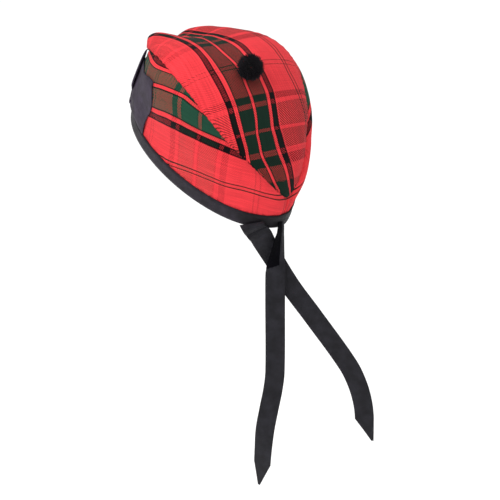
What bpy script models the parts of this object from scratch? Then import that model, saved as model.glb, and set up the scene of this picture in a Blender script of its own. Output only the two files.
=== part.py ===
"""A Scottish glengarry cap, held as a head holds it, in metres with +Z up.

The origin is the middle of the rim's opening, where the cap sits on the head.
+X is the wearer's left, -Y the front, and the ties hang down -Z at the back.
The cap's own frame has across (left), along (to the back) and height (off the rim's plane).
"""

import math

import bmesh
import bpy
from mathutils import Vector

# Rim opening and how the cap sits
RIM_LENGTH = 0.232
RIM_WIDTH = 0.142
RIM_BACK_FULLNESS = 0.03
RIM_BACK_PINCH = 0.3
PINCH_SPREAD = 0.12
FRONT_LIFT = math.radians(26.5)

# Crown seam and dome
SEAM_REACH = 0.116
SEAM_WIDTH = 0.154
SEAM_HEIGHT = 0.118
DOME_RISE = 0.023
VALLEY_SPREAD = 0.42
RIGHT_RIDGE_SINK = 0.5
CROWN_OVERHANG = 0.002
NOSE_OVERHANG = 0.005
PANEL_BULGE = 0.012
BULGE_POWER = 1.9
PANEL_SHOULDER = 0.006
SHOULDER_POWER = 4

# Cloth and its seams
CLOTH = 0.0022
TAPE = 0.001
GAP = 0.0003
TUCK_GAP = 0.0005
SEAM_SETBACK = 0.0006
NOSE_SETBACK = 0.0022
TIP_SETBACK = 0.0016
TIP_SPREAD = 0.08
CLOTH_EDGE = 0.0008
MIDDLE_SEAM_LOW = 0.1
BACK_SEAM_HIGH = 0.7
NOSE_SEAM_HIGH = 0.3

# Binding
BINDING_HEIGHT = 0.0155
BINDING_INSIDE = 0.012
FOLD_DROP = 0.0016

# Toorie
TOORIE_DIAMETER = 0.028
TOORIE_STATION = 0.485
TOORIE_SHARE = 0.2
TOORIE_SEAT = 0.86
TOORIE_TUFTS = 60
TUFT_DEPTH = 0.1
TUFT_VALLEY = 0.96

# Cockade
COCKADE_HEIGHT = 0.1
COCKADE_REAR_STATION = 0.645
COCKADE_FRONT_STATION = 0.93
COCKADE_OFF = 0.001
COCKADE_PUFF = 0.0062
LOOP_SPREAD = 0.08
LOOP_LOW = 0.043
LOOP_TOP = 0.092
LOOP_STATION = 0.84
LOOP_SLANT = 0.045
LOOP_PLEAT = 0.0007
LOOP_FOOT = 0.15
LOOP_TIP = 0.95
KNOT_DIAMETER = 0.009
KNOT_THICKNESS = 0.0026
KNOT_STATION = 0.845
KNOT_HEIGHT = 0.021

# Ties
TIE_LENGTH = 0.34
TIE_WIDTH = 0.0225
TIE_SEWN = 0.006
TIE_POINT = 0.034
TIE_TIP = 0.12
LEFT_TIE_STATION = 0.165
LEFT_TIE_STAND = 0.0016
RIGHT_TIE_STATION = 0.0
RIGHT_TIE_STAND = -0.0006

# Grids, the steps that measure which way a surface or a ribbon runs, and how near points are one
CROWN_GRID = 24
SIDE_STEPS = 32
SIDE_RISE = 11
RIBBON_GRID = (9, 11)
LOOP_GRID = (6, 10)
TIE_GRID = (3, 36)
NORMAL_STEP = 0.002
RUN_STEP = 0.01
MERGE = 0.00005

# The crown seam, from the back tip to the front: along, half_width and height are shares of
# SEAM_REACH, SEAM_WIDTH / 2 and SEAM_HEIGHT, dome and valley of DOME_RISE, and bulge of
# PANEL_BULGE and PANEL_SHOULDER. Lean is the dome's direction in degrees, 0 straight back and 90
# straight up. Box is the power of the dome's arch, and a smaller one is boxier.
SEAM_COLUMNS = ("along", "half_width", "height", "dome", "lean", "valley", "bulge", "box")
SEAM_ROWS = {
    0.00: (0.93, 0.00, 0.29, 0.00, 30, 0.00, 0.10, 0.65),
    0.06: (0.87, 0.23, 0.39, 0.18, 33, 0.00, 0.32, 0.65),
    0.13: (0.75, 0.45, 0.52, 0.45, 40, 0.00, 0.48, 0.65),
    0.21: (0.59, 0.665, 0.65, 0.68, 46, 0.00, 0.55, 0.65),
    0.30: (0.424, 0.855, 0.768, 0.85, 54, 0.00, 0.75, 0.65),
    0.40: (0.203, 1.01, 0.898, 0.87, 64, 0.00, 1.00, 0.65),
    0.50: (-0.02, 1.09, 0.996, 0.86, 76, 0.05, 1.10, 0.65),
    0.60: (-0.25, 1.095, 1.027, 0.82, 88, 0.25, 1.05, 0.60),
    0.70: (-0.482, 0.99, 1.01, 0.79, 100, 0.50, 0.80, 0.50),
    0.80: (-0.725, 0.77, 0.923, 0.80, 116, 0.75, 0.32, 0.40),
    0.88: (-0.89, 0.56, 0.82, 0.80, 138, 0.90, 0.06, 0.30),
    0.95: (-0.965, 0.31, 0.685, 0.66, 148, 0.90, 0.02, 0.25),
    1.00: (-1.00, 0.00, 0.605, 0.10, 158, 0.50, 0.02, 0.25),
}

# Each tie from the rim down: down, across and back are shares of TIE_LENGTH from where it is
# sewn on, facing is the way its face looks in degrees, 0 to the left and 90 to the back, and wide
# is a share of TIE_WIDTH
TIE_COLUMNS = ("down", "across", "back", "facing", "wide")
LEFT_TIE_ROWS = {
    0.00: (0.000, -0.006, 0.001, 44, 1.25),
    0.03: (0.026, -0.008, 0.006, 44, 1.22),
    0.09: (0.080, -0.045, 0.005, 42, 1.00),
    0.18: (0.160, -0.091, 0.019, 40, 1.00),
    0.29: (0.256, -0.130, 0.057, 40, 1.00),
    0.42: (0.364, -0.178, 0.114, 40, 1.00),
    0.66: (0.548, -0.257, 0.208, 40, 1.00),
    0.76: (0.626, -0.285, 0.242, 40, 1.00),
    0.84: (0.700, -0.302, 0.262, 40, 1.00),
    0.93: (0.780, -0.308, 0.269, 40, 1.00),
    1.00: (0.844, -0.309, 0.271, 40, 1.00),
}
RIGHT_TIE_ROWS = {
    0.00: (0.000, 0.008, 0.002, 90, 0.50),
    0.03: (0.033, 0.012, 0.004, 108, 0.85),
    0.07: (0.076, 0.022, 0.003, 98, 0.95),
    0.12: (0.132, 0.034, 0.000, 64, 1.00),
    0.17: (0.178, 0.039, -0.001, 46, 1.00),
    0.26: (0.269, 0.039, -0.001, 40, 1.00),
    0.53: (0.539, 0.038, 0.000, 40, 1.00),
    0.60: (0.608, 0.042, -0.005, 40, 1.00),
    0.68: (0.686, 0.051, -0.015, 34, 1.00),
    0.76: (0.766, 0.059, -0.025, 26, 1.00),
    0.84: (0.846, 0.063, -0.030, 12, 1.00),
    1.00: (0.993, 0.068, -0.035, 4, 1.00),
}

# The cockade on the left side. From its rear edge to its front one: where its top edge comes, as a
# share of COCKADE_HEIGHT. From the binding up: the station of its rear edge, and how far it
# stands off the side, as a share of COCKADE_PUFF.
COCKADE_TOP_ROWS = {
    0.00: (0.995,),
    0.11: (0.977,),
    0.20: (0.941,),
    0.31: (0.896,),
    0.70: (0.82,),
    1.00: (0.76,),
}
COCKADE_REAR_ROWS = {
    0.00: (0.664,),
    0.20: (0.661,),
    0.40: (0.648,),
    0.55: (0.631,),
    0.75: (0.622,),
    1.00: (0.645,),
}
COCKADE_PUFF_ROWS = {
    0.00: (0.10,),
    0.07: (0.60,),
    0.17: (0.93,),
    0.29: (1.00,),
    0.39: (0.84,),
    0.53: (0.50,),
    0.65: (0.25,),
    0.75: (0.10,),
    1.00: (0.00,),
}

CLOTH_RED = (0.62, 0.035, 0.045, 1.0)
TAPE_BLACK = (0.045, 0.043, 0.055, 1.0)
WOOL_BLACK = (0.012, 0.009, 0.012, 1.0)
ROUGHNESS = 0.85


def smooth(rows, columns, station):
    """The table's columns at this station, on a smooth curve through its rows."""
    stations = sorted(rows)
    station = min(max(station, stations[0]), stations[-1])
    last = len(stations) - 2
    index = min(max(sum(s <= station for s in stations) - 1, 0), last)
    before, after = stations[index], stations[index + 1]
    share = (station - before) / (after - before)

    def slope(place, column):
        low = stations[max(place - 1, 0)]
        high = stations[min(place + 1, last + 1)]
        return (rows[high][column] - rows[low][column]) / (high - low)

    found = {}
    for column, name in enumerate(columns):
        start, end = rows[before][column], rows[after][column]
        leave = slope(index, column) * (after - before)
        arrive = slope(index + 1, column) * (after - before)
        found[name] = (
            start * (2 * share**3 - 3 * share**2 + 1)
            + leave * (share**3 - 2 * share**2 + share)
            + end * (3 * share**2 - 2 * share**3)
            + arrive * (share**3 - share**2)
        )
    return found


def place(across, along, height):
    """A point of the cap's own frame in the world: the rim's plane rises to the front."""
    lift, level = math.sin(FRONT_LIFT), math.cos(FRONT_LIFT)
    return Vector((across, along * level + height * lift, height * level - along * lift))


def rim_point(station):
    turn = math.pi * station
    pinch = RIM_BACK_PINCH * math.exp(-((station / PINCH_SPREAD) ** 2))
    fullness = (1 + RIM_BACK_FULLNESS * math.cos(turn)) * (1 - pinch)
    return Vector(
        (RIM_WIDTH / 2 * math.sin(turn) * fullness, RIM_LENGTH / 2 * math.cos(turn), 0.0)
    )


def seam_point(station):
    row = smooth(SEAM_ROWS, SEAM_COLUMNS, station)
    return Vector(
        (
            row["half_width"] * SEAM_WIDTH / 2,
            row["along"] * SEAM_REACH,
            row["height"] * SEAM_HEIGHT,
        )
    )


def panel_height(station):
    return (seam_point(station) - rim_point(station)).length


def panel_point(station, height):
    """The side's outer surface, this far up from the rim, in the cap's own frame."""
    rise = height / panel_height(station)
    turn = math.pi * station
    outward = Vector((math.sin(turn) / RIM_WIDTH, math.cos(turn) / RIM_LENGTH, 0)).normalized()
    row = smooth(SEAM_ROWS, SEAM_COLUMNS, station)
    inside = min(max(rise, 0), 1)
    swell = outward * PANEL_BULGE * math.sin(math.pi * inside**BULGE_POWER)
    shoulder = outward + Vector((0, 0, 1))
    shoulder *= PANEL_SHOULDER * math.sin(math.pi * inside**SHOULDER_POWER)
    return rim_point(station).lerp(seam_point(station), rise) + (swell + shoulder) * row["bulge"]


def off_surface(surface, first, second, off):
    """A point this far out of a surface of two values, along its normal."""
    here = surface(first, second)
    along_first = surface(first + NORMAL_STEP, second) - surface(first - NORMAL_STEP, second)
    along_second = surface(first, second + NORMAL_STEP) - surface(first, second - NORMAL_STEP)
    return here + along_second.cross(along_first).normalized() * off


def crown_point(station, share):
    """The crown's outer surface: share runs from -1 at the right seam to 1 at the left."""
    row = smooth(SEAM_ROWS, SEAM_COLUMNS, station)
    seam = seam_point(station)
    arch = max(1 - share * share, 0) ** row["box"]
    crease = row["valley"] * math.exp(-((share / VALLEY_SPREAD) ** 2))
    sunk = 1 - RIGHT_RIDGE_SINK * min(2 * row["valley"], 1) * max(-share, 0) ** 0.5
    rise = DOME_RISE * row["dome"] * (arch - crease) * sunk
    lean = math.radians(row["lean"])
    overhang = CROWN_OVERHANG * row["dome"] + NOSE_OVERHANG * row["valley"]
    return Vector(
        (
            seam.x * share + overhang * 2 * share * math.sqrt(max(1 - share * share, 0)),
            seam.y + rise * math.cos(lean),
            seam.z + rise * math.sin(lean),
        )
    )


def new_object(name, mesh_bm, colour):
    mesh = bpy.data.meshes.new(name)
    mesh_bm.to_mesh(mesh)
    mesh_bm.free()
    mesh.shade_smooth()
    obj = bpy.data.objects.new(name, mesh)
    cap.objects.link(obj)
    material = bpy.data.materials.new(name)
    material.use_nodes = True
    shader = material.node_tree.nodes["Principled BSDF"]
    shader.inputs["Base Color"].default_value = colour
    shader.inputs["Roughness"].default_value = ROUGHNESS
    mesh.materials.append(material)
    return obj


def sheet(name, grid, surface, thickness, offset, colour, closed=False):
    """A cloth piece: a grid laid on surface(u, v), both 0 to 1, then given its thickness."""
    bm = bmesh.new()
    bmesh.ops.create_grid(bm, x_segments=grid[0], y_segments=grid[1], size=1.0)
    for vert in bm.verts:
        vert.co = surface((vert.co.x + 1) / 2, (vert.co.y + 1) / 2)
    if closed:
        bmesh.ops.remove_doubles(bm, verts=bm.verts, dist=MERGE)
    obj = new_object(name, bm, colour)
    solidify = obj.modifiers.new("Thickness", "SOLIDIFY")
    solidify.thickness = thickness
    solidify.offset = offset
    solidify.use_even_offset = True
    return obj


def crown():
    """The top panel: a square grid laid on a disc whose rim is the seam, closer at both ends."""

    def surface(u, v):
        x, y = 2 * u - 1, math.sin(math.pi * (v - 0.5))
        disc_x = x * math.sqrt(1 - y * y / 2)
        disc_y = min(max(y * math.sqrt(1 - x * x / 2), -1), 1)
        half = math.sqrt(max(1 - disc_y * disc_y, 1e-9))
        share = min(max(disc_x / half, -1), 1)
        return place(*crown_point(math.acos(disc_y) / math.pi, share))

    return sheet("crown", (CROWN_GRID, CROWN_GRID), surface, CLOTH, -1, CLOTH_RED)


def clear_of_middle(point, rise):
    """Keeps a left piece off its right twin at the middle seams, more so where it faces sideways."""
    high = BACK_SEAM_HIGH if point.y > 0 else NOSE_SEAM_HIGH
    spread = MIDDLE_SEAM_LOW + (high - MIDDLE_SEAM_LOW) * rise
    point.x = max(point.x, GAP / 2 + CLOTH * spread)
    return point


def side(name, hand):
    """One side, from the rim up to the crown seam."""

    def surface(u, v):
        station = 1 - u
        nose = smooth(SEAM_ROWS, SEAM_COLUMNS, station)["valley"]
        tip = max(1 - station / TIP_SPREAD, 0)
        high = panel_height(station) - SEAM_SETBACK - NOSE_SETBACK * nose - TIP_SETBACK * tip
        height = CLOTH_EDGE + (high - CLOTH_EDGE) * v
        point = clear_of_middle(panel_point(station, height), height / high)
        return place(point.x * hand, point.y, point.z)

    return sheet(name, (SIDE_STEPS, SIDE_RISE), surface, CLOTH, -hand, CLOTH_RED)


def rim_binding():
    """A tape folded over the raw edge, all the way round the opening."""
    outside = TUCK_GAP + TAPE / 2
    inside = -(CLOTH + TUCK_GAP + TAPE / 2)
    middle = (outside + inside) / 2
    section = (
        (outside, BINDING_HEIGHT),
        (outside, BINDING_HEIGHT / 2),
        (outside, 0.0),
        (middle, -FOLD_DROP),
        (inside, 0.0),
        (inside, BINDING_INSIDE / 2),
        (inside, BINDING_INSIDE),
    )

    def surface(u, v):
        off, height = section[round(v * (len(section) - 1))]
        around = 2 * u
        hand = 1 if around <= 1 else -1
        station = around if around <= 1 else 2 - around
        point = off_surface(panel_point, station, height, off)
        return place(point.x * hand, point.y, point.z)

    grid = (2 * SIDE_STEPS, len(section) - 1)
    return sheet("rim_binding", grid, surface, TAPE, 0, TAPE_BLACK, closed=True)


def toorie():
    """A wool pompom of short tufts, sewn to the crown."""
    base = place(*crown_point(TOORIE_STATION, TOORIE_SHARE))
    ahead = place(*crown_point(TOORIE_STATION + RUN_STEP, TOORIE_SHARE)) - base
    beside = place(*crown_point(TOORIE_STATION, TOORIE_SHARE + RUN_STEP)) - base
    up = beside.cross(-ahead).normalized()
    radius = TOORIE_DIAMETER / 2
    centre = base + up * (radius * TOORIE_SEAT + GAP)
    golden = math.pi * (3 - math.sqrt(5))
    tufts = []
    for tuft in range(TOORIE_TUFTS):
        level = 1 - 2 * (tuft + 0.5) / TOORIE_TUFTS
        ring = math.sqrt(1 - level * level)
        tufts.append(
            Vector((ring * math.cos(golden * tuft), ring * math.sin(golden * tuft), level))
        )
    bm = bmesh.new()
    bmesh.ops.create_icosphere(bm, subdivisions=4, radius=1.0)
    for vert in bm.verts:
        nearest = max(tuft.dot(vert.co) for tuft in tufts)
        hollow = TUFT_DEPTH * (1 - nearest) / (1 - TUFT_VALLEY)
        reach = radius * (1 - hollow)
        vert.co = centre + vert.co.normalized() * reach
        depth = (vert.co - base).dot(up)
        if depth < GAP:
            vert.co += up * (GAP - depth)
    return new_object("toorie", bm, WOOL_BLACK)


def cockade_point(station, height, lift):
    """A point this far out of the cockade's ribbon, which stands a little off the side."""
    run = COCKADE_FRONT_STATION - COCKADE_REAR_STATION
    around = (station - COCKADE_REAR_STATION) / run
    rise = (height - BINDING_HEIGHT) / (COCKADE_HEIGHT - BINDING_HEIGHT)
    puff = smooth(COCKADE_PUFF_ROWS, ("puff",), rise)["puff"] * max(math.sin(math.pi * around), 0)
    return off_surface(panel_point, station, height, COCKADE_OFF + COCKADE_PUFF * puff + lift)


def cockade_ribbon():
    """The cockade's broad ribbon, laid flat on the left side from the binding up."""

    def surface(u, v):
        low = BINDING_HEIGHT + GAP
        high = smooth(COCKADE_TOP_ROWS, ("top",), u)["top"] * COCKADE_HEIGHT
        height = low + (high - low) * v
        rear = smooth(COCKADE_REAR_ROWS, ("rear",), v)["rear"]
        station = rear + (COCKADE_FRONT_STATION - rear) * u
        return place(*cockade_point(station, height, 0))

    return sheet("cockade_ribbon", RIBBON_GRID, surface, TAPE, 0, TAPE_BLACK)


def cockade_loop():
    """The folded loop above the ribbon, gathered at its foot and pointed at its top."""

    def surface(u, v):
        spread = math.sin(math.pi * (LOOP_FOOT + (LOOP_TIP - LOOP_FOOT) * v))
        height = LOOP_LOW + (LOOP_TOP - LOOP_LOW) * v
        station = LOOP_STATION + LOOP_SLANT * v + LOOP_SPREAD * (u - 0.5) * spread
        pleat = LOOP_PLEAT * (1 + math.cos(3 * math.pi * u)) * math.sin(math.pi * v)
        return place(*cockade_point(station, height, TAPE + GAP + pleat))

    return sheet("cockade_loop", LOOP_GRID, surface, TAPE, 0, TAPE_BLACK)


def cockade_knot():
    """The small flat knot that holds the cockade's gathers."""
    ribbon = cockade_point(KNOT_STATION, KNOT_HEIGHT, 0)
    centre = cockade_point(KNOT_STATION, KNOT_HEIGHT, (TAPE + KNOT_THICKNESS) / 2 + TUCK_GAP)
    turn = Vector((1, 0, 0)).rotation_difference(centre - ribbon)
    bm = bmesh.new()
    bmesh.ops.create_icosphere(bm, subdivisions=2, radius=KNOT_DIAMETER / 2)
    for vert in bm.verts:
        flat = Vector((vert.co.x * KNOT_THICKNESS / KNOT_DIAMETER, vert.co.y, vert.co.z))
        vert.co = place(*(centre + turn @ flat))
    return new_object("cockade_knot", bm, TAPE_BLACK)


def tie(name, rows, station, stand):
    """A free ribbon end: each row of its table is a place along it, from the rim down."""
    on_binding = TUCK_GAP + TAPE + GAP + TAPE / 2
    anchor = place(*off_surface(panel_point, station, TIE_SEWN, on_binding + stand))

    def middle(share):
        row = smooth(rows, TIE_COLUMNS, share)
        drop = Vector((row["across"], row["back"], -row["down"])) * TIE_LENGTH
        return anchor + drop, math.radians(row["facing"]), row["wide"] * TIE_WIDTH

    def surface(u, v):
        share = 1 - v
        here, facing, full_width = middle(share)
        run = middle(min(share + RUN_STEP, 1))[0] - middle(max(share - RUN_STEP, 0))[0]
        across = run.cross(Vector((math.cos(facing), math.sin(facing), 0))).normalized()
        slant = max(share - 1 + TIE_POINT / TIE_LENGTH, 0) * TIE_LENGTH / TIE_POINT
        cut = full_width * slant * (1 - TIE_TIP)
        return here + across * ((u - 0.5) * (full_width - cut) + cut / 2)

    return sheet(name, TIE_GRID, surface, TAPE, 0, TAPE_BLACK)


def main():
    for obj in list(bpy.data.objects):
        bpy.data.objects.remove(obj, do_unlink=True)
    bpy.context.scene.collection.children.link(cap)
    crown()
    side("side_left", 1)
    side("side_right", -1)
    rim_binding()
    toorie()
    cockade_ribbon()
    cockade_loop()
    cockade_knot()
    tie("tie_left", LEFT_TIE_ROWS, LEFT_TIE_STATION, LEFT_TIE_STAND)
    tie("tie_right", RIGHT_TIE_ROWS, RIGHT_TIE_STATION, RIGHT_TIE_STAND)


cap = bpy.data.collections.new("glengarry")
main()
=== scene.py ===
"""A red tartan glengarry cap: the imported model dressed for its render."""

import bisect
import functools
import math
import random

import bmesh
import bpy
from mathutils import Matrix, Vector, noise


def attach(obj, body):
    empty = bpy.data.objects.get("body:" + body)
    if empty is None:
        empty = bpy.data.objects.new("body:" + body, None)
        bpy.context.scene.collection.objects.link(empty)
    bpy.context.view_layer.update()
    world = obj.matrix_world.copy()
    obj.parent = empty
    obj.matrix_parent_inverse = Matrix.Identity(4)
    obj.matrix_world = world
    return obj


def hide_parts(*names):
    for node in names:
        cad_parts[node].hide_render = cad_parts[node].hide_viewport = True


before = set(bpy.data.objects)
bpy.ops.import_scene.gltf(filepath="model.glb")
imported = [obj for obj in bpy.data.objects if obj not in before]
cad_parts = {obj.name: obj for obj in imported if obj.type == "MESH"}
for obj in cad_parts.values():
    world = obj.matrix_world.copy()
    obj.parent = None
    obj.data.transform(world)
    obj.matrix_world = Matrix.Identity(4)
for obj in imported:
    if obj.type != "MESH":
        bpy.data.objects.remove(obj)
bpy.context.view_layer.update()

# CROWN. The boat-shaped top of the cap is one piece of worsted wool tartan, cut with its stripes
# running from front to back. It is domed over the head, and its front is creased lengthwise, with
# a ridge each side. All round, its edge is turned in and sewn to the two sides.
SEAM_REACH = 0.116
SEAM_WIDTH = 0.154
SEAM_HEIGHT = 0.118
DOME_RISE = 0.023
VALLEY_SPREAD = 0.42
RIGHT_RIDGE_SINK = 0.5
CROWN_OVERHANG = 0.002
NOSE_OVERHANG = 0.002
FRONT_LIFT = math.radians(26.5)
CLOTH = 0.0022
THREAD = 0.0006
EDGE_ROLL = 0.0026
EDGE_DEPTH = 0.0014
JUST_INSIDE = 0.9999
SEAM_ALLOWANCE = 0.002
RAW_EDGE = EDGE_ROLL / 50
CREASE_REACH = 0.012
BROAD_STRAY, BROAD_SPAN = 0.0009, 0.034
FINE_STRAY, FINE_SPAN = 0.0004, 0.013
PUCKER_SIZE = 0.0085
PUCKER_DEPTH = 0.0003
PUCKER_REACH = 0.014
PUCKER_WANDER, PUCKER_WANDER_SPAN = 1.5, 0.03

# From the back tip to the front: along, half_width and height are shares of SEAM_REACH,
# SEAM_WIDTH / 2 and SEAM_HEIGHT, dome is a share of DOME_RISE and valley one of the dome. Lean is
# the dome's direction, 0 straight back and 90 straight up, and box is the power of its arch. Bulge
# is how far the side below swells out, as a share of PANEL_BULGE.
# Columns: along, half_width, height, dome, lean, valley, bulge, box
SEAM_ROWS = {
    0.00: (0.93, 0.00, 0.29, 0.00, 30, 0.00, 0.10, 0.65),
    0.06: (0.87, 0.23, 0.39, 0.18, 33, 0.00, 0.32, 0.65),
    0.13: (0.75, 0.45, 0.52, 0.45, 40, 0.00, 0.48, 0.65),
    0.21: (0.59, 0.665, 0.65, 0.68, 46, 0.00, 0.55, 0.65),
    0.30: (0.424, 0.855, 0.768, 0.85, 54, 0.00, 0.75, 0.65),
    0.40: (0.203, 1.01, 0.898, 0.87, 64, 0.00, 1.00, 0.65),
    0.50: (-0.02, 1.09, 1.003, 0.83, 76, 0.05, 1.10, 0.65),
    0.60: (-0.25, 1.095, 1.045, 0.76, 88, 0.25, 1.05, 0.60),
    0.70: (-0.482, 0.99, 1.03, 0.70, 100, 0.50, 0.80, 0.50),
    0.80: (-0.725, 0.77, 0.923, 0.80, 116, 0.75, 0.32, 0.40),
    0.88: (-0.89, 0.56, 0.82, 0.80, 138, 0.90, 0.06, 0.30),
    0.95: (-0.965, 0.31, 0.685, 0.66, 148, 0.90, 0.02, 0.25),
    1.00: (-1.00, 0.00, 0.605, 0.10, 158, 0.50, 0.02, 0.25),
}

# Where the tartan's red line, the black stripe each side of it and the thin green pair to the right
# cross the crown: how far left of the middle, in mm along the cloth. Skew is how far forward the
# crosswise threads run for each mm to the left.
# Columns: pair, black_right, red, black_left, skew
STRIPE_ROWS = {
    0.00: (-60, -9, 8, 40, 0.1),
    0.05: (-62, -4.7, 15, 44, 0.1),
    0.10: (-60, -0.5, 24, 50, 0.1),
    0.15: (-58, 4, 31, 55, 0.1),
    0.20: (-54, 8, 37.2, 57, 0.1),
    0.25: (-52, 9.4, 38, 58.7, 0.12),
    0.29: (-54, 9.6, 37.5, 60.2, 0.12),
    0.34: (-54, 3.5, 32, 60.5, 0.08),
    0.40: (-53.5, -4.6, 26.4, 57.9, 0.12),
    0.45: (-53.8, -6.6, 24.0, 57.2, 0.13),
    0.50: (-57, -10.2, 20.3, 56, 0.13),
    0.56: (-61.2, -14.1, 17.4, 52.5, 0.1),
    0.60: (-62.8, -18.5, 16, 49, 0.08),
    0.65: (-63.5, -20.8, 12.4, 45, 0.04),
    0.71: (-63, -18.4, 6.6, 41.5, 0.0),
    0.76: (-62, -16.9, 1, 39.5, 0.0),
    0.81: (-61, -15, -2.5, 41, 0.0),
    0.87: (-60, -16, -5, 43.5, 0.0),
    1.00: (-60, -20, -6, 42, 0.0),
}
PAIR_THREAD, BLACK_THREAD, RED_THREAD, NEXT_BLACK_THREAD = 0, 67, 116, 165
LEFT_THREADS = 57
CREST_SHARE = 0.3

# Which crosswise thread lies this many mm along the crown's crest from its back tip
# Columns: thread
WEFT_ROWS = {
    0.0: (342,),
    26.0: (316,),
    29.0: (206,),
    53.1: (165,),
    61.8: (154.5,),
    77.2: (135,),
    88.0: (116,),
    101.7: (97,),
    123.0: (67,),
    163.4: (0,),
    208.0: (-67,),
    240.0: (-115,),
    300.0: (-205,),
}


def smooth(rows):
    """A function that gives the table's columns at any station, on a smooth curve."""
    stations = sorted(rows)
    last = len(stations) - 2
    ends = [0] + list(range(len(stations))) + [last + 1]
    slopes = []
    for before, after in zip(ends, ends[2:]):
        low, high = stations[before], stations[after]
        slopes.append([(b - a) / (high - low) for a, b in zip(rows[low], rows[high])])

    @functools.cache
    def at(station):
        station = min(max(station, stations[0]), stations[-1])
        index = min(max(bisect.bisect_right(stations, station) - 1, 0), last)
        span = stations[index + 1] - stations[index]
        share = (station - stations[index]) / span
        first = 2 * share**3 - 3 * share**2 + 1
        leave = (share**3 - 2 * share**2 + share) * span
        arrive = (share**3 - share**2) * span
        low, high = rows[stations[index]], rows[stations[index + 1]]
        return [
            a * first + slope_a * leave + b * (1 - first) + slope_b * arrive
            for a, slope_a, b, slope_b in zip(low, slopes[index], high, slopes[index + 1])
        ]

    return at


def place(across, along, height):
    """A point of the cap's own frame in the world: the rim's plane rises to the front."""
    lift, level = math.sin(FRONT_LIFT), math.cos(FRONT_LIFT)
    return Vector((across, along * level + height * lift, height * level - along * lift))


seam_at = smooth(SEAM_ROWS)
stripe_at = smooth(STRIPE_ROWS)
weft_at = smooth(WEFT_ROWS)


def seam_point(station):
    """The left seam between crown and side, in the cap's own frame."""
    along, half_width, height, *_ = seam_at(station)
    return Vector((half_width * SEAM_WIDTH / 2, along * SEAM_REACH, height * SEAM_HEIGHT))


def crown_point(station, share):
    """The crown's outer surface: share runs from -1 at the right seam to 1 at the left."""
    along, half_width, height, dome, lean, valley, _, box = seam_at(station)
    arch = max(1 - share * share, 0) ** box
    crease = valley * math.exp(-((share / VALLEY_SPREAD) ** 2))
    sunk = 1 - RIGHT_RIDGE_SINK * min(2 * valley, 1) * max(-share, 0) ** 0.5
    rise = DOME_RISE * dome * (arch - crease) * sunk
    lean = math.radians(lean)
    overhang = CROWN_OVERHANG * dome + NOSE_OVERHANG * valley
    over = overhang * 2 * share * math.sqrt(max(1 - share * share, 0))
    return Vector(
        (
            half_width * SEAM_WIDTH / 2 * share + over,
            along * SEAM_REACH + rise * math.cos(lean),
            height * SEAM_HEIGHT + rise * math.sin(lean),
        )
    )


def off_surface(surface, first, second, off, step=0.002):
    """A point this far out of a surface of two values, along its normal."""
    here = surface(first, second)
    along_first = surface(first + step, second) - surface(first - step, second)
    along_second = surface(first, second + step) - surface(first, second - step)
    return here + along_second.cross(along_first).normalized() * off


def uneven(point):
    """How far pressed cloth strays from its true surface at a point."""
    broad = BROAD_STRAY * noise.noise(point / BROAD_SPAN)
    return broad + FINE_STRAY * noise.noise(point / FINE_SPAN)


def pucker(run, edge, size=PUCKER_SIZE, depth=PUCKER_DEPTH):
    """The ripples where cloth is eased into a seam: run is how far along the seam, and edge how
    far from it, in metres."""
    wander = PUCKER_WANDER * noise.noise(Vector((run / PUCKER_WANDER_SPAN, 0.5, 0.5)))
    fade = max(1 - max(edge, 0) / PUCKER_REACH, 0) ** 2
    return depth * fade * math.sin(2 * math.pi * (run / size + wander))


def add(name, mesh, material):
    """Puts a finished mesh in the scene, smooth and in its material."""
    mesh.shade_smooth()
    mesh.materials.append(material)
    piece = bpy.data.objects.new(name, mesh)
    bpy.context.scene.collection.objects.link(piece)
    return piece


def lay(name, grid, surface, cloth, thickness, offset, material, close=None):
    """A cloth piece: a grid laid on surface(u, v), with its place in the cloth, from cloth(u, v),
    as its UV map. Its thickness goes inwards at an offset of -1 and both ways at 0, and vertices
    closer together than close become one."""
    bm = bmesh.new()
    bmesh.ops.create_grid(bm, x_segments=grid[0], y_segments=grid[1], size=0.5)
    threads = bm.loops.layers.uv.new("cloth")
    counts = {vert: cloth(vert.co.x + 0.5, vert.co.y + 0.5) for vert in bm.verts}
    for face in bm.faces:
        for loop in face.loops:
            loop[threads].uv = counts[loop.vert]
    for vert in bm.verts:
        vert.co = surface(vert.co.x + 0.5, vert.co.y + 0.5)
    if close:
        bmesh.ops.remove_doubles(bm, verts=bm.verts, dist=close)
        bmesh.ops.recalc_face_normals(bm, faces=bm.faces)
    mesh = bpy.data.meshes.new(name)
    bm.to_mesh(mesh)
    bm.free()
    piece = add(name, mesh, material)
    solidify = piece.modifiers.new("Thickness", "SOLIDIFY")
    solidify.thickness = thickness
    solidify.offset = offset
    solidify.use_even_offset = True
    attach(piece, "root")
    return piece


def linear(code, alpha=1.0):
    """An sRGB hex colour as the linear values that a shader takes."""
    parts = [int(code[i : i + 2], 16) / 255 for i in (1, 3, 5)]
    return [p / 12.92 if p <= 0.04045 else ((p + 0.055) / 1.055) ** 2.4 for p in parts] + [alpha]


def node(tree, kind, values=(), out=0, **settings):
    """Adds a node and gives one of its outputs. Its values are numbers, colours or outputs."""
    made = tree.nodes.new("ShaderNode" + kind)
    for key, value in settings.items():
        setattr(made, key, value)
    for key, value in values.items() if isinstance(values, dict) else enumerate(values):
        if isinstance(value, bpy.types.NodeSocket):
            tree.links.new(value, made.inputs[key])
        else:
            made.inputs[key].default_value = value
    return made.outputs[out]


TARTAN_RED = "#ED3D44"
TARTAN_BLACK = "#120A0D"
TARTAN_EDGE_GREEN = "#132019"

# In threads: the size of a slub, and how wide the change to an even weave is
SLUB_LENGTH, SLUB_WIDTH = 60, 2.5
EVEN_OVER = 6


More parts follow.
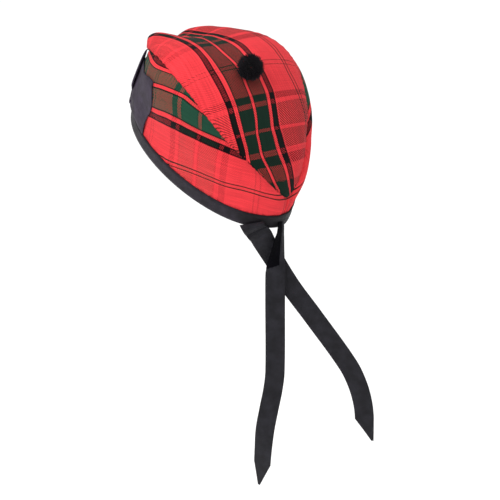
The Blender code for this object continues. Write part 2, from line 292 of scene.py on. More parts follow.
def worsted_tartan(name, green_code, even_below):
    """Worsted wool in a warp-faced twill, of threads 0.6 mm apart. The lengthwise threads show
    three times in four, so the stripes along the cloth are strong and those across it faint. Where
    the crosswise threads show, their colour is darkened as painted shade, for the shade where they
    lie sunk between the lengthwise ones. At the edges of the dark stripes the warp is close and
    hides them. It is dyed in the yarn, so threads and the slubs in them differ a little, and matt,
    with a slight bloom of loose fibre. Below the lengthwise thread even_below, the crosswise ones
    come up twice in four, and their stripes show more."""
    material = bpy.data.materials.new(name)
    material.use_nodes = True
    tree = material.node_tree
    shader = tree.nodes["Principled BSDF"]
    red, green, black = linear(TARTAN_RED), linear(green_code), linear(TARTAN_BLACK)
    close_green, close_black = linear(TARTAN_EDGE_GREEN, 0.0), linear(TARTAN_BLACK, 0.0)
    # Half of the sett, which is mirrored at both ends: the thread that each colour starts at.
    # An alpha of 0 marks where the warp is close.
    sett = (
        (0, red),
        (3, close_green),
        (5, red),
        (61, close_black),
        (63, black),
        (71, close_black),
        (73, red),
        (81, close_green),
        (83, green),
        (111, close_green),
        (113, red),
    )
    half_sett = RED_THREAD - PAIR_THREAD
    # Each way's colours, slubs and round threads: first the lengthwise ones, then the crosswise
    counts = node(tree, "UVMap", uv_map="cloth")
    places, colours, opens, rounds, whole, slubs = [], [], [], [], [], []
    for way in (0, 1):
        at = node(tree, "SeparateXYZ", (counts,), way)
        folded = node(tree, "Math", (at, half_sett), operation="PINGPONG")
        ramp = tree.nodes.new("ShaderNodeValToRGB")
        tree.links.new(node(tree, "Math", (folded, half_sett), operation="DIVIDE"), ramp.inputs[0])
        ramp.color_ramp.interpolation = "CONSTANT"
        points = ramp.color_ramp.elements
        points[0].color = sett[0][1]
        points[1].position, points[1].color = sett[1][0] / half_sett, sett[1][1]
        for start, colour in sett[2:]:
            points.new(start / half_sett).color = colour
        colours.append(ramp.outputs[0])
        opens.append(ramp.outputs[1])
        places.append(at)
        whole.append(node(tree, "Math", (at,), operation="FLOOR"))
        long, wide = 1 / SLUB_LENGTH, 1 / SLUB_WIDTH
        stretch = (long, wide, 1) if way else (wide, long, 1)
        drawn = node(tree, "Mapping", {"Vector": counts, "Scale": stretch})
        slubs.append(node(tree, "TexNoise", {"Vector": drawn, "Scale": 1.0, "Detail": 1.0}))
        wave = node(tree, "Math", (at, math.pi), operation="MULTIPLY")
        wave = node(tree, "Math", (wave,), operation="SINE")
        rounds.append(node(tree, "Math", (wave,), operation="ABSOLUTE"))
    # Which of the two lies on top, in the steps of a twill
    both = node(tree, "Math", whole, operation="ADD")
    turn = node(tree, "Math", (both, 4.0), operation="FLOORED_MODULO")
    rises = {0: places[0], 1: even_below - EVEN_OVER, 2: even_below, 3: 1.5, 4: 0.5}
    rises = node(tree, "MapRange", rises)
    weft_up = node(tree, "Math", (turn, rises), operation="LESS_THAN")
    weft_up = node(tree, "Math", (weft_up, opens[0]), operation="MULTIPLY")
    threads = node(tree, "Mix", {0: weft_up, 6: colours[0], 7: colours[1]}, 2, data_type="RGBA")
    # How light each thread is: its own dye lot, its slubs, painted shade on the sunk crosswise
    # threads, and broad patches
    number = node(tree, "Mix", {0: weft_up, 2: whole[0], 3: whole[1]})
    lot = node(tree, "TexWhiteNoise", {"W": number}, noise_dimensions="1D")
    shade = node(tree, "MapRange", {0: lot, 3: 0.86, 4: 1.06})
    slub = node(tree, "Mix", {0: weft_up, 2: slubs[0], 3: slubs[1]})
    slub = node(tree, "MapRange", {0: slub, 1: 0.3, 2: 0.7, 3: 0.9, 4: 1.08})
    shade = node(tree, "Math", (shade, slub), operation="MULTIPLY")
    # Painted shade: where the crosswise threads show, they are darkened to 0.7, for the shade where
    # they lie sunk
    sunk = node(tree, "MapRange", {0: weft_up, 3: 1.0, 4: 0.7})
    shade = node(tree, "Math", (shade, sunk), operation="MULTIPLY")
    coordinates = node(tree, "TexCoord", out=3)
    cloud = node(tree, "TexNoise", {"Vector": coordinates, "Scale": 45.0, "Detail": 4.0})
    patch = node(tree, "MapRange", {0: cloud, 1: 0.3, 2: 0.7, 3: 0.93, 4: 1.03})
    shade = node(tree, "Math", (shade, patch), operation="MULTIPLY")
    dyed = {0: 1.0, 6: threads, 7: shade}
    dyed = node(tree, "Mix", dyed, 2, data_type="RGBA", blend_type="MULTIPLY")
    tree.links.new(dyed, shader.inputs["Base Color"])
    relief = node(tree, "Mix", {0: weft_up, 2: rounds[0], 3: rounds[1]})
    bump = node(tree, "Bump", {"Height": relief, "Strength": 0.35, "Distance": 0.0002})
    tree.links.new(bump, shader.inputs["Normal"])
    shader.inputs["Roughness"].default_value = 0.9
    shader.inputs["Specular IOR Level"].default_value = 0.05
    shader.inputs["Sheen Weight"].default_value = 0.04
    shader.inputs["Sheen Roughness"].default_value = 0.5
    return material


# The crown and the sides are cut from one cloth. The crown's green is darker than the sides':
# partly the cloth's own, and partly painted shade, for the shade on the crown's back.
CROWN_GREEN_WITH_PAINTED_SHADE = "#13291F"
CROWN_EVEN_BELOW = 62
CROWN_TARTAN = worsted_tartan("worsted_tartan_crown_painted_shade", CROWN_GREEN_WITH_PAINTED_SHADE, CROWN_EVEN_BELOW)
CROWN_GRID = (150, 150)
GRID_TURN = 1.4


def crown_station(u, v):
    """A square grid laid on the crown's disc: its station from back to front, and its share. Its
    lines lie closer together towards the seam."""
    x = math.sin((2 * u - 1) * GRID_TURN) / math.sin(GRID_TURN)
    y = math.sin((2 * v - 1) * GRID_TURN) / math.sin(GRID_TURN)
    disc_x = x * math.sqrt(1 - y * y / 2)
    disc_y = min(max(y * math.sqrt(1 - x * x / 2), -1), 1)
    half = math.sqrt(max(1 - disc_y * disc_y, 1e-9))
    return math.acos(disc_y) / math.pi, min(max(disc_x / half, -1), 1)


def lengths(curve, steps=200):
    """How far along a curve, in mm, each of its even steps from 0 to 1 is."""
    found = [0.0]
    for step in range(steps):
        found.append(found[-1] + (curve((step + 1) / steps) - curve(step / steps)).length * 1000)
    return found


def between(values, share):
    """The value at a share of the way along a list."""
    at = share * (len(values) - 1)
    low = min(int(at), len(values) - 2)
    return values[low] + (values[low + 1] - values[low]) * (at - low)


def thread_at(place, marks, threads):
    """The thread at a place between marks, all in mm. Past the last marks the cloth lies even."""
    if place <= marks[0]:
        return threads[0] + (place - marks[0]) / 1000 / THREAD
    if place >= marks[-1]:
        return threads[-1] + (place - marks[-1]) / 1000 / THREAD
    index = bisect.bisect_right(marks, place) - 1
    share = (place - marks[index]) / (marks[index + 1] - marks[index])
    return threads[index] + (threads[index + 1] - threads[index]) * share


crest = lengths(lambda station: crown_point(station, CREST_SHARE))


def crown_counts(station, share):
    """The tartan's threads at a point of the crown: the lengthwise one and the crosswise one. Left
    of the last black stripe the cloth is eased, so that the crown ends before the next green
    pair, within LEFT_THREADS more."""
    arc = lengths(lambda part: crown_point(station, share * part), 12)[-1]
    left = math.copysign(arc, share)
    *stripes, skew = stripe_at(station)
    threads = (PAIR_THREAD, BLACK_THREAD, RED_THREAD, NEXT_BLACK_THREAD)
    over = thread_at(left, stripes, threads)
    past = max(over - NEXT_BLACK_THREAD, 0)
    over += LEFT_THREADS * (1 - math.exp(-past / LEFT_THREADS)) - past
    return over, weft_at(between(crest, station) - skew * (left - stripes[2]))[0]


def turned_in(edge):
    """How far cloth dips where it turns in to a seam, this far from the seam."""
    return EDGE_DEPTH * max(1 - edge / EDGE_ROLL, 0) ** 2


def allowance(edge, across):
    """How far the very edge of the cloth goes on inside, to close the seam. It has none where the
    seams meet in the middle of the cap."""
    return SEAM_ALLOWANCE * min(across / CREASE_REACH, 1) if edge < RAW_EDGE else 0


def crown_surface(u, v):
    """The crown's pressed and eased cloth on the crown's true surface."""
    station, share = crown_station(u, v)
    edge = (1 - abs(share)) * seam_point(station).x
    out = uneven(place(*crown_point(station, share))) * min(edge / CREASE_REACH, 1)
    out += pucker(between(crest, station) / 1000, edge) - turned_in(edge)
    out -= allowance(edge, abs(share) * seam_point(station).x)
    return place(*off_surface(crown_point, station, share * JUST_INSIDE, out))


crown = lay(
    "crown_panel",
    CROWN_GRID,
    crown_surface,
    lambda u, v: crown_counts(*crown_station(u, v)),
    CLOTH,
    -1,
    CROWN_TARTAN,
)
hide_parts("crown")

# SIDES. The two side panels, of the same tartan with its stripes running from front to back. Each
# is eased over the head below the crown's seam, and they are sewn together at the front and back.
RIM_LENGTH = 0.232
RIM_WIDTH = 0.142
RIM_BACK_FULLNESS = 0.03
RIM_BACK_PINCH = 0.3
PINCH_SPREAD = 0.12
PANEL_BULGE = 0.012
BULGE_POWER = 1.9
PANEL_SHOULDER = 0.006
SHOULDER_POWER = 4
NOSE_SETBACK = 0.0022
PANEL_WEFT_HEIGHT = 0.08
PANEL_LEAN_FROM = 0.09
PANEL_LEAN = 600
BINDING_HEIGHT = 0.0155
BINDING_PUCKER_SIZE = 0.011
BINDING_PUCKER_DEPTH = 0.0004
SIDE_GRID = (200, 90)

# How high the thin green pair, the black stripe and the red line are off the rim, in mm, from the
# back to the front
# Columns: pair, black, red
PANEL_ROWS = {
    0.00: (36, 74, 100),
    0.05: (39.8, 76, 102),
    0.13: (44.7, 79, 105),
    0.21: (46.3, 81, 107),
    0.29: (42.5, 83, 108.5),
    0.35: (39, 83.3, 109),
    0.41: (34.5, 82.6, 108.4),
    0.48: (23.5, 79.4, 111),
    0.51: (18.3, 76.5, 111.9),
    0.55: (13, 71.8, 109.5),
    0.60: (7.5, 63, 103.8),
    0.63: (4, 57.5, 99),
    0.70: (-6, 45, 88),
    1.00: (-30, 15, 58),
}

# Which crosswise thread lies this many mm round a side from its back seam. Above PANEL_LEAN_FROM
# the threads lie further forward, by PANEL_LEAN mm for each metre up.
# Columns: thread
PANEL_WEFT_ROWS = {
    0.0: (312,),
    47.2: (232,),
    86.5: (165,),
    153.5: (67,),
    190.8: (0,),
    260.0: (-121,),
}

panel_weft_at = smooth(PANEL_WEFT_ROWS)
panel_stripe_at = smooth(PANEL_ROWS)


def rim_point(station):
    """The rim's left half, from the back to the front, in the cap's own frame."""
    turn = math.pi * station
    pinch = RIM_BACK_PINCH * math.exp(-((station / PINCH_SPREAD) ** 2))
    fullness = (1 + RIM_BACK_FULLNESS * math.cos(turn)) * (1 - pinch)
    return Vector(
        (RIM_WIDTH / 2 * math.sin(turn) * fullness, RIM_LENGTH / 2 * math.cos(turn), 0.0)
    )


def panel_height(station):
    """How far it is from the rim up to the crown's seam."""
    return (seam_point(station) - rim_point(station)).length


def panel_point(station, height):
    """The side's outer surface, this far up from the rim, in the cap's own frame."""
    rise = height / panel_height(station)
    turn = math.pi * station
    outward = Vector((math.sin(turn) / RIM_WIDTH, math.cos(turn) / RIM_LENGTH, 0)).normalized()
    bulge = seam_at(station)[6]
    inside = min(max(rise, 0), 1)
    swell = outward * PANEL_BULGE * math.sin(math.pi * inside**BULGE_POWER)
    shoulder = outward + Vector((0, 0, 1))
    shoulder *= PANEL_SHOULDER * math.sin(math.pi * inside**SHOULDER_POWER)
    return rim_point(station).lerp(seam_point(station), rise) + (swell + shoulder) * bulge


girth = lengths(lambda station: panel_point(station, PANEL_WEFT_HEIGHT))


def panel_counts(station, height):
    """The tartan's threads at a point of a side: the lengthwise one and the crosswise one."""
    threads = (PAIR_THREAD, BLACK_THREAD, RED_THREAD)
    up = thread_at(height * 1000, panel_stripe_at(station), threads)
    lean = PANEL_LEAN * max(height - PANEL_LEAN_FROM, 0)
    return up, panel_weft_at(between(girth, station) - lean)[0]


# The sides' green is lighter than the crown's: partly the cloth's own, and partly painted light,
# for the light that falls on the sides.
SIDE_GREEN_WITH_PAINTED_LIGHT = "#234A39"
NOWHERE_EVEN = -1000
SIDE_TARTAN = worsted_tartan("worsted_tartan_sides_painted_light", SIDE_GREEN_WITH_PAINTED_LIGHT, NOWHERE_EVEN)


def side(name, hand, stands_for):
    """One side panel: its hand is 1 for the left and -1 for the right. The left one's grid runs
    from the front and the right one's from the back, so that both face outwards."""

    def where(u, v):
        station = 1 - u if hand > 0 else u
        nose = seam_at(station)[5]
        return station, v * (panel_height(station) - NOSE_SETBACK * nose)

    def surface(u, v):
        station, height = where(u, v)
        edge = panel_height(station) - height
        here = panel_point(station, height)
        low = height - BINDING_HEIGHT
        near = min(edge, max(low, 0), here.x) / CREASE_REACH
        out = uneven(place(here.x * hand, here.y, here.z)) * min(near, 1)
        out += pucker(between(crest, station) / 1000, edge)
        run = between(girth, station) / 1000
        out += pucker(run, abs(low), BINDING_PUCKER_SIZE, BINDING_PUCKER_DEPTH)
        middle = turned_in(max(here.x, 0))
        out -= max(turned_in(edge), middle) + allowance(edge, here.x)
        point = off_surface(panel_point, station, height, out)
        point.x = max(point.x, 0) if 0 < station < 1 else 0
        return place(point.x * hand, point.y, point.z)

    piece = lay(
        name,
        SIDE_GRID,
        surface,
        lambda u, v: panel_counts(*where(u, v)),
        CLOTH,
        -1,
        SIDE_TARTAN,
    )
    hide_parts(stands_for)


side("side_panel_left", 1, "side_left")
side("side_panel_right", -1, "side_right")

# BINDING. A black ribbed ribbon, folded over the raw edge all round the opening and stitched down.
TAPE = 0.001
TUCK_GAP = 0.0005
BINDING_STEPS = 320
# Where the binding's painted shade begins, in metres to the back, and how far it takes to reach its
# full darkness
BINDING_PAINTED_SHADE_FROM = 0.078
BINDING_JOIN = 0.00005
PAINTED_SHADE_OVER = 0.012

# In mm: the ribbon's flat size, all round the rim, and how far apart its ribs are drawn
BINDING_CLOTH = (590, 29)
RIB_SPACING = 1.3


def ribbed_ribbon(name, colour, light_colour, rough, gloss, painted_shade_from=1.0):
    """Grosgrain ribbon: close-woven ribs run across it, shaped by a bump, and its colour is painted
    lighter on each rib and in soft patches, as painted highlights, with a low lustre. Real ribs are
    about 0.5 mm apart and are drawn 1.3 mm apart, to show. Behind painted_shade_from, in metres to
    the back, its colour is darkened as painted shade, where the cap's back and the ties shade it."""
    material = bpy.data.materials.new(name)
    material.use_nodes = True
    tree = material.node_tree
    shader = tree.nodes["Principled BSDF"]
    # The map's first axis runs along the ribbon, so a rib is a line across it
    along = node(tree, "SeparateXYZ", (node(tree, "UVMap", uv_map="cloth"),), 0)
    wave = node(tree, "Math", (along, 2 * math.pi / RIB_SPACING), operation="MULTIPLY")
    rib = node(tree, "Math", (wave,), operation="SINE")
    coordinates = node(tree, "TexCoord", out=3)
    # Painted highlights: the colour is mixed towards light_colour on each rib's crest and in soft
    # patches, for the light that the ribs and the lustre catch
    cloud = node(tree, "TexNoise", {"Vector": coordinates, "Scale": 90.0, "Detail": 3.0})
    lit = node(tree, "MapRange", {0: cloud, 1: 0.35, 2: 0.7})
    ribbed = node(tree, "MapRange", {0: rib, 1: -1.0, 2: 1.0, 3: 0.35, 4: 1.0})
    amount = node(tree, "Math", (lit, ribbed), operation="MULTIPLY")
    dyed = {0: amount, 6: linear(colour), 7: linear(light_colour)}
    dyed = node(tree, "Mix", dyed, 2, data_type="RGBA")
    # Painted shade: towards the back the colour is darkened to 0.35, for the shade under the cap's
    # back and the ties
    behind = node(tree, "SeparateXYZ", (coordinates,), 1)
    darker = {0: behind, 1: painted_shade_from, 2: painted_shade_from + PAINTED_SHADE_OVER, 3: 1.0, 4: 0.35}
    pressed = {0: 1.0, 6: dyed, 7: node(tree, "MapRange", darker)}
    pressed = node(tree, "Mix", pressed, 2, data_type="RGBA", blend_type="MULTIPLY")
    tree.links.new(pressed, shader.inputs["Base Color"])
    bump = node(tree, "Bump", {"Height": rib, "Strength": 0.5, "Distance": 0.0002})
    tree.links.new(bump, shader.inputs["Normal"])
    shader.inputs["Roughness"].default_value = rough
    shader.inputs["Specular IOR Level"].default_value = gloss
    shader.inputs["Sheen Weight"].default_value = gloss / 8
    return material


# The ribbon's section, from its outer edge down, under the cloth's raw edge and up inside: how far
# out, from -1 inside to 1 outside, and how high off the rim, as a share of BINDING_HEIGHT
# Columns: off_share, height_share
BINDING_SECTION = (
    (1.0, 1.0),
    (1.0, 0.75),
    (1.0, 0.5),
    (1.0, 0.25),
    (1.0, 0.08),
    (0.8, -0.08),
    (0.0, -0.11),
    (-0.8, -0.08),
    (-1.0, 0.08),
    (-1.0, 0.4),
    (-1.0, 0.78),
)


def binding_surface(u, v):
    """The ribbon all round the rim, from the back over the left side and back over the right."""
    off_share, height_share = BINDING_SECTION[round(v * (len(BINDING_SECTION) - 1))]
    outside = TUCK_GAP + TAPE / 2
    inside = -(CLOTH + TUCK_GAP + TAPE / 2)
    off = (outside + inside) / 2 + (outside - inside) / 2 * off_share
    around = 2 * u
    hand = 1 if around <= 1 else -1
    station = around if around <= 1 else 2 - around
    point = off_surface(panel_point, station, height_share * BINDING_HEIGHT, off)
    return place(point.x * hand, point.y, point.z)


binding = lay(
    "binding_ribbon",
    (BINDING_STEPS, len(BINDING_SECTION) - 1),
    binding_surface,
    lambda u, v: (u * BINDING_CLOTH[0], v * BINDING_CLOTH[1]),
    TAPE,
    0,
    ribbed_ribbon("binding_grosgrain", "#1A161D", "#2F2A34", 0.55, 0.16, BINDING_PAINTED_SHADE_FROM),
    close=BINDING_JOIN,
)
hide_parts("rim_binding")

# COCKADE. Ribbon sewn on the left side: a broad piece laid flat from the binding up, a gathered
# loop over it that ends in a point, and a small flat knot.
COCKADE_HEIGHT = 0.1
COCKADE_REAR_STATION = 0.645
COCKADE_FRONT_STATION = 0.93
COCKADE_OFF = 0.001
COCKADE_PUFF = 0.0062
LOOP_SPREAD = 0.08
LOOP_LOW = 0.043
LOOP_TOP = 0.092
LOOP_STATION = 0.84
LOOP_SLANT = 0.045
LOOP_PLEAT = 0.0026
LOOP_PLEATS, LOOP_PLEAT_START = 1.5, 0.4
LOOP_FOOT = 0.15
LOOP_TIP = 0.95
FOLDS = 9
FOLD_DEPTH = 0.0015
FOLD_REACH = 0.042
FOLD_RISE = 8
COCKADE_GIRTH = 0.3
COCKADE_GRID, LOOP_GRID = (60, 70), (40, 50)
KNOT_DIAMETER = 0.009
KNOT_THICKNESS = 0.0026
KNOT_STATION = 0.845
KNOT_HEIGHT = 0.021
GAP = 0.0003

# In mm: the flat sizes of the broad piece and of the loop
COCKADE_CLOTH, LOOP_CLOTH = (75, 80), (30, 42)

# From the cockade's rear edge to its front one: where its top comes, as a share of COCKADE_HEIGHT
# Columns: top
COCKADE_TOP_ROWS = {
    0.00: (0.995,),
    0.11: (0.977,),
    0.20: (0.941,),
    0.31: (0.896,),
    0.70: (0.82,),
    1.00: (0.76,),
}

# From the binding up: the station of the cockade's rear edge
# Columns: station
COCKADE_REAR_ROWS = {
    0.00: (0.664,),
    0.20: (0.661,),
    0.40: (0.648,),
    0.55: (0.631,),
    0.75: (0.622,),
    1.00: (0.645,),
}

# From the binding up: how far the cockade stands off the side, as a share of COCKADE_PUFF
# Columns: puff
COCKADE_PUFF_ROWS = {
    0.00: (0.10,),
    0.07: (0.60,),
    0.17: (0.93,),
    0.29: (1.00,),
    0.39: (0.84,),
    0.53: (0.50,),
    0.65: (0.25,),
    0.75: (0.10,),
    1.00: (0.00,),
}

cockade_top_at = smooth(COCKADE_TOP_ROWS)
cockade_rear_at = smooth(COCKADE_REAR_ROWS)
cockade_puff_at = smooth(COCKADE_PUFF_ROWS)

COCKADE_RIBBON = ribbed_ribbon("cockade_grosgrain", "#261E2A", "#41364A", 0.6, 0.12)


def cockade_point(station, height, lift):
    """A point lift out of the cockade's flat ribbon, which stands a little off the side."""
    run = COCKADE_FRONT_STATION - COCKADE_REAR_STATION
    around = (station - COCKADE_REAR_STATION) / run
    rise = (height - BINDING_HEIGHT) / (COCKADE_HEIGHT - BINDING_HEIGHT)
    puff = COCKADE_PUFF * cockade_puff_at(rise)[0] * max(math.sin(math.pi * around), 0)
    return off_surface(panel_point, station, height, COCKADE_OFF + puff + lift)


def gathers(station, height):
    """The folds that run out of the knot, where the ribbon is drawn together."""
    over = (station - KNOT_STATION) * COCKADE_GIRTH
    up = height - KNOT_HEIGHT
    far = math.hypot(over, up) / FOLD_REACH
    fold = FOLD_DEPTH * math.sin(FOLDS * math.atan2(up, over))
    return fold * min(FOLD_RISE * far, 1) * max(1 - far, 0)


def cockade_surface(u, v):
    """The broad flat ribbon, from its rear edge to its front one and from the binding up."""
    low = BINDING_HEIGHT + GAP
    high = cockade_top_at(u)[0] * COCKADE_HEIGHT
    rear = cockade_rear_at(v)[0]
    station = rear + (COCKADE_FRONT_STATION - rear) * u
    height = low + (high - low) * v
    return place(*cockade_point(station, height, gathers(station, height)))


def loop_surface(u, v):
    """The gathered loop over it: narrow at its foot, pleated, and pointed at its top."""
    spread = math.sin(math.pi * (LOOP_FOOT + (LOOP_TIP - LOOP_FOOT) * v))
    height = LOOP_LOW + (LOOP_TOP - LOOP_LOW) * v
    station = LOOP_STATION + LOOP_SLANT * v + LOOP_SPREAD * (u - 0.5) * spread
    wave = abs(math.cos(LOOP_PLEATS * math.pi * u + LOOP_PLEAT_START))
    pleat = LOOP_PLEAT * wave * math.sin(math.pi * v) ** 0.5
    lift = TAPE + GAP + pleat + gathers(station, height)
    return place(*cockade_point(station, height, lift))


cockade = lay(
    "cockade_ribbon_flat",
    COCKADE_GRID,
    cockade_surface,
    lambda u, v: (u * COCKADE_CLOTH[0], v * COCKADE_CLOTH[1]),
    TAPE,
    0,
    COCKADE_RIBBON,
)
loop = lay(
    "cockade_ribbon_loop",
    LOOP_GRID,
    loop_surface,
    lambda u, v: (u * LOOP_CLOTH[0], v * LOOP_CLOTH[1]),
    TAPE,
    0,
    COCKADE_RIBBON,
)
ribbon = cockade_point(KNOT_STATION, KNOT_HEIGHT, 0)
knot_centre = cockade_point(KNOT_STATION, KNOT_HEIGHT, (TAPE + KNOT_THICKNESS) / 2 + TUCK_GAP)
knot_turn = Vector((1, 0, 0)).rotation_difference(knot_centre - ribbon)
bm = bmesh.new()
bmesh.ops.create_icosphere(bm, subdivisions=3, radius=KNOT_DIAMETER / 2)
for vert in bm.verts:
    flat = Vector((vert.co.x * KNOT_THICKNESS / KNOT_DIAMETER, vert.co.y, vert.co.z))
    vert.co = place(*(knot_centre + knot_turn @ flat))
mesh = bpy.data.meshes.new("cockade_knot_flat")
bm.to_mesh(mesh)
bm.free()
knot = add("cockade_knot_flat", mesh, COCKADE_RIBBON)
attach(knot, "root")
for piece, stands_for in (
    (cockade, "cockade_ribbon"),
    (loop, "cockade_loop"),
    (knot, "cockade_knot"),
):
    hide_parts(stands_for)

# TOORIE. The pompom on the crown: black wool yarn, bound at its middle and cut to a ball.
TOORIE_DIAMETER = 0.028
TOORIE_STATION = 0.485
TOORIE_SHARE = 0.2
TOORIE_SEAT = 0.86
STRANDS = 2600
STRAND_WIDTH = 0.0005
STRAND_TIP_WIDTH = STRAND_WIDTH / 1.3
STRAND_ROOT = 0.45
STRAND_SCATTER = 0.12
STRAND_REACH = (0.93, 1.03)
STRAND_BEND = 3
toorie_base = place(*crown_point(TOORIE_STATION, TOORIE_SHARE))
ahead = place(*crown_point(TOORIE_STATION + 0.01, TOORIE_SHARE)) - toorie_base
beside = place(*crown_point(TOORIE_STATION, TOORIE_SHARE + 0.01)) - toorie_base
toorie_up = beside.cross(-ahead).normalized()
toorie_radius = TOORIE_DIAMETER / 2
toorie_centre = toorie_base + toorie_up * (toorie_radius * TOORIE_SEAT + GAP)


def wool_yarn():
    """Cut wool yarn, dyed black: a soft, matt pile, mottled a little darker and lighter in small
    patches.
    """
    material = bpy.data.materials.new("cut_wool_yarn")
    material.use_nodes = True
    tree = material.node_tree
    shader = tree.nodes["Principled BSDF"]
    coordinates = node(tree, "TexCoord", out=3)
    cloud = node(tree, "TexNoise", {"Vector": coordinates, "Scale": 700.0, "Detail": 2.0})
    dyed = {0: cloud, 6: linear("#060508"), 7: linear("#1B161D")}
    tree.links.new(node(tree, "Mix", dyed, 2, data_type="RGBA"), shader.inputs["Base Color"])
    shader.inputs["Roughness"].default_value = 0.95
    shader.inputs["Specular IOR Level"].default_value = 0.06
    shader.inputs["Sheen Weight"].default_value = 0.1
    return material


bm = bmesh.new()
bmesh.ops.create_cone(
    bm,
    segments=4,
    radius1=STRAND_WIDTH / 2,
    radius2=STRAND_TIP_WIDTH / 2,
    depth=1,
    cap_ends=True,
)
upright = [e for e in bm.edges if abs(e.verts[0].co.z - e.verts[1].co.z) > 0.5]
bmesh.ops.subdivide_edges(bm, edges=upright, cuts=2)
strand = [vert.co.copy() for vert in bm.verts]
strand_faces = [[vert.index for vert in face.verts] for face in bm.faces]
bm.free()

# The strands stand evenly all round the ball, each turned from the last by the golden angle
chance = random.Random(5)
points, faces = [], []
for index in range(STRANDS):
    level = 1 - 2 * (index + 0.5) / STRANDS
    turn = math.pi * (3 - math.sqrt(5)) * index
    ring = math.sqrt(1 - level * level)
    way = Vector((ring * math.cos(turn), ring * math.sin(turn), level))
    way += Vector([chance.uniform(-STRAND_SCATTER, STRAND_SCATTER) for _ in range(3)])
    way.normalize()
    reach = toorie_radius * chance.uniform(*STRAND_REACH)
    bend = Vector([chance.uniform(-STRAND_SCATTER, STRAND_SCATTER) for _ in range(3)])
    bend *= toorie_radius
    turned = Vector((0, 0, 1)).rotation_difference(way)
    start = len(points)
    for co in strand:
        run = STRAND_ROOT + (1 - STRAND_ROOT) * (co.z + 0.5)
        point = toorie_centre + way * reach * run + bend * (run - STRAND_ROOT) ** 2 * STRAND_BEND
        point += turned @ Vector((co.x, co.y, 0))
        depth = (point - toorie_base).dot(toorie_up)
        if depth < GAP:
            point += toorie_up * (GAP - depth)
        points.append(point)
    faces += [[start + corner for corner in face] for face in strand_faces]
mesh = bpy.data.meshes.new("toorie_pompom")
mesh.from_pydata(points, [], faces)
toorie = add("toorie_pompom", mesh, wool_yarn())
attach(toorie, "root")
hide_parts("toorie")

# TIES. The two ends of a black ribbon, sewn on at the back, that close the cap at the nape. They
# hang free and are cut to slanted points.
TIE_LENGTH = 0.34
TIE_WIDTH = 0.0225
TIE_SEWN = 0.006
TIE_POINT = 0.034
TIE_TIP = 0.12

# Each tie from the rim down: down, across and back are shares of TIE_LENGTH from where it is
# sewn on, facing is the way its face looks in degrees, 0 to the left and 90 to the back, and wide
# is a share of TIE_WIDTH
# Columns: down, across, back, facing, wide
LEFT_TIE_ROWS = {
    0.00: (0.005, 0.000, -0.005, 44, 1.14),
    0.03: (0.031, -0.012, 0.001, 44, 1.09),
    0.06: (0.054, -0.032, 0.005, 43, 1.14),
    0.09: (0.080, -0.049, 0.005, 42, 1.12),
    0.18: (0.160, -0.091, 0.019, 40, 1.00),
    0.29: (0.256, -0.130, 0.057, 40, 1.00),
    0.42: (0.364, -0.178, 0.114, 40, 1.00),
    0.66: (0.548, -0.257, 0.208, 40, 1.00),
    0.76: (0.626, -0.279, 0.237, 40, 1.00),
    0.84: (0.702, -0.292, 0.253, 40, 1.00),
    0.93: (0.784, -0.298, 0.260, 40, 1.00),
    1.00: (0.850, -0.302, 0.264, 40, 1.00),
}
RIGHT_TIE_ROWS = {
    0.00: (0.000, 0.010, 0.000, 90, 0.30),
    0.03: (0.033, 0.018, 0.004, 105, 0.75),
    0.05: (0.054, 0.023, 0.003, 100, 0.90),
    0.09: (0.098, 0.030, 0.002, 88, 0.95),
    0.12: (0.132, 0.035, 0.000, 74, 1.00),
    0.15: (0.160, 0.038, 0.000, 56, 1.00),
    0.17: (0.178, 0.039, -0.001, 46, 1.00),
    0.26: (0.269, 0.039, -0.001, 40, 1.00),
    0.53: (0.539, 0.038, 0.000, 40, 1.00),
    0.60: (0.608, 0.042, -0.005, 40, 1.00),
    0.68: (0.686, 0.051, -0.015, 34, 1.00),
    0.76: (0.766, 0.059, -0.025, 26, 1.00),
    0.84: (0.846, 0.063, -0.030, 12, 1.00),
    1.00: (0.993, 0.068, -0.035, 4, 1.00),
}

# From the rim down: how far a tie's pleats stand out where it is sewn on, in mm
# Columns: out
LEFT_PLEAT_ROWS = {
    0.000: (0.0,),
    0.006: (2.4,),
    0.015: (3.2,),
    0.024: (2.2,),
    0.031: (0.0,),
    0.036: (-1.2,),
    0.045: (0.4,),
    0.060: (0.0,),
}
RIGHT_PLEAT_ROWS = {0.0: (0.0,), 1.0: (0.0,)}

# Where the right tie is turned over: down to this share of its length, and less by TURN_SLANT at
# its left edge, and from this share of its width
TURNED_TO = 0.15
TURN_SLANT = 0.016
TURNED_FROM_EDGE = 0.3
TURN_DEPTH = 0.0008
TOP_SLANT_TO = 0.06
TIE_GRID = (20, 320)

# In mm: a tie's length and width, for its ribs
TIE_CLOTH = (340, 22)

TIE_RIBBON = ribbed_ribbon("tie_grosgrain", "#141318", "#25242B", 0.45, 0.14)
# A darker, duller ribbon for the turned-over part of the right tie: painted shade, where the twist
# turns it from the light
TIE_PAINTED_SHADE = ribbed_ribbon("tie_grosgrain_painted_shade", "#07070A", "#0C0B10", 0.8, 0.02)


